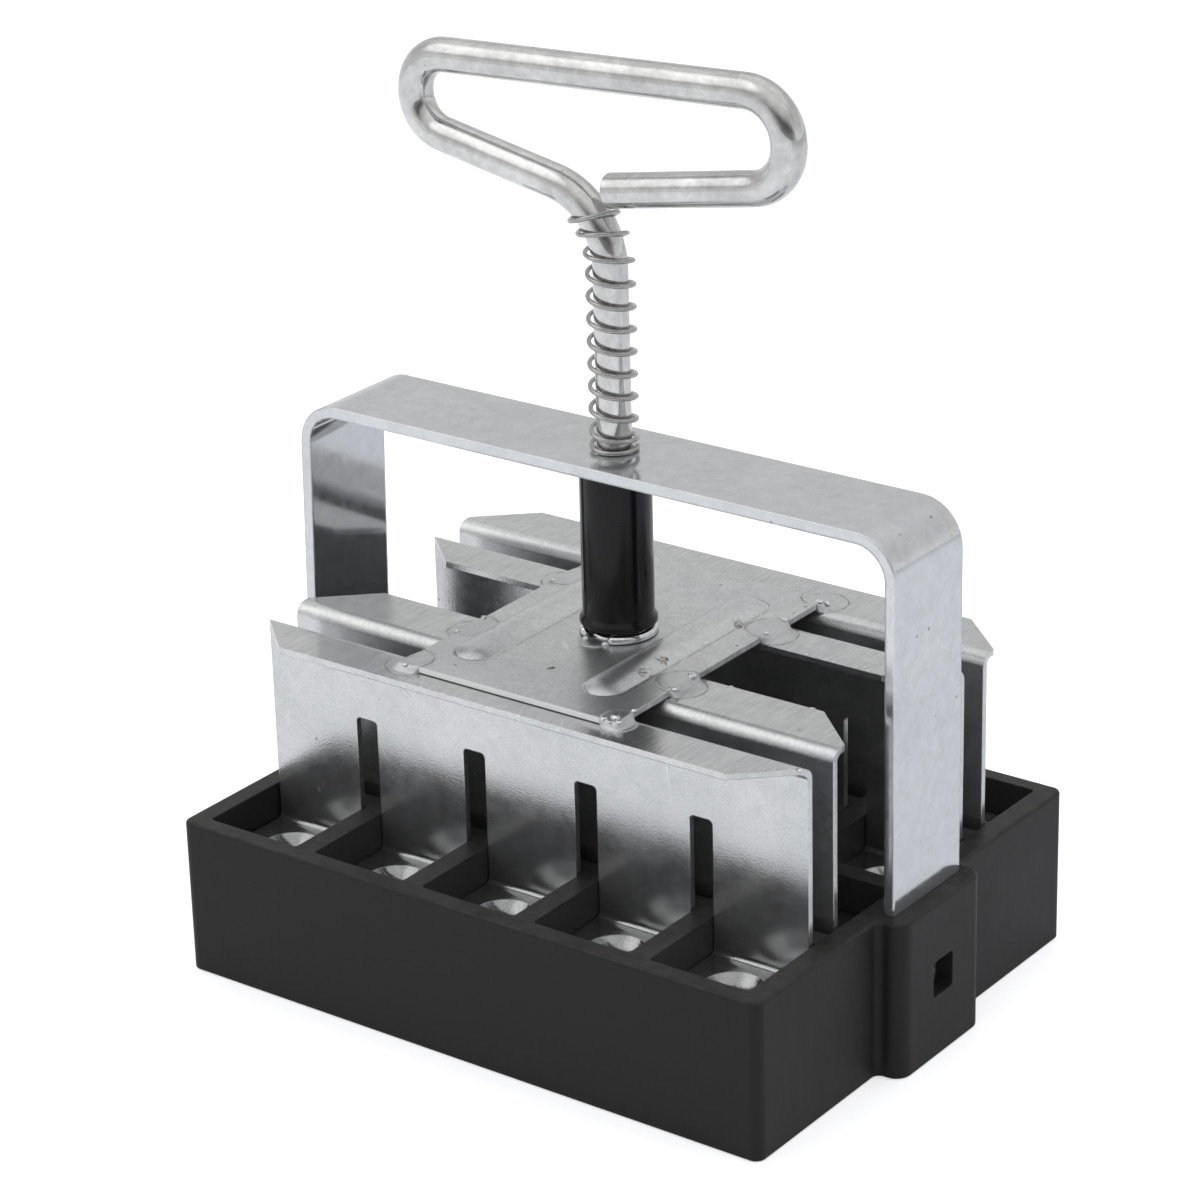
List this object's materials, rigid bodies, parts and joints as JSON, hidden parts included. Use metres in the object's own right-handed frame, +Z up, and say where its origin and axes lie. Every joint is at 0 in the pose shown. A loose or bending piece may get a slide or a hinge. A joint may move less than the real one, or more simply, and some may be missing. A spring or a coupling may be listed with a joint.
{
  "type": "soil blocker",
  "caption": "Hand soil blocker: a mould with open cells under a strap, and a sprung plunger with a loop handle that pushes the pressed soil blocks out.",
  "frame": {"origin": "underside of the mould, at the middle of its length and width", "axes": "+Z up along the plunger rod, +X along the strap and the longer side of the mould, +Y along the shorter side, away from the row whose sheet stands in front"},
  "size_m": [0.135, 0.0982, 0.169],
  "materials": {
    "mould_plastic": "satin black moulded plastic, a little lighter on the worn rim",
    "strap_zinc": "zinc plated steel strip, satin with soft grey blotches",
    "rod_zinc": "bright zinc plated round bar, mottled",
    "spring_steel": "bare stainless spring wire",
    "sleeve_plastic": "gloss black plastic tube",
    "sheet_zinc": "galvanised sheet steel, satin with fine brushing",
    "weld_metal": "bright weld beads"
  },
  "bodies": {
    "frame": {"mould": "mould_plastic", "strap": "strap_zinc", "return_spring": "spring_steel"},
    "plunger": {"handle_rod": "rod_zinc", "centre_plate": "sheet_zinc", "press_plate_1": "sheet_zinc", "press_plate_2": "sheet_zinc", "press_plate_3": "sheet_zinc", "press_plate_4": "sheet_zinc", "rod_weld": "weld_metal", "plate_welds": "weld_metal"},
    "sleeve": {"stop_sleeve": "sleeve_plastic"}
  },
  "joints": [
    {"name": "plunger_slide", "type": "slide", "parent": "frame", "child": "plunger", "axis": [0, 0, 1], "range_m": [-0.0175, 0], "stiffness_N_per_m": 900, "springref_m": 0.008, "deforming": ["return_spring"]},
    {"name": "sleeve_spin", "type": "hinge", "parent": "plunger", "child": "sleeve", "pos_m": [0, 0, 0.08], "axis": [0, 0, 1], "continuous": true}
  ]
}
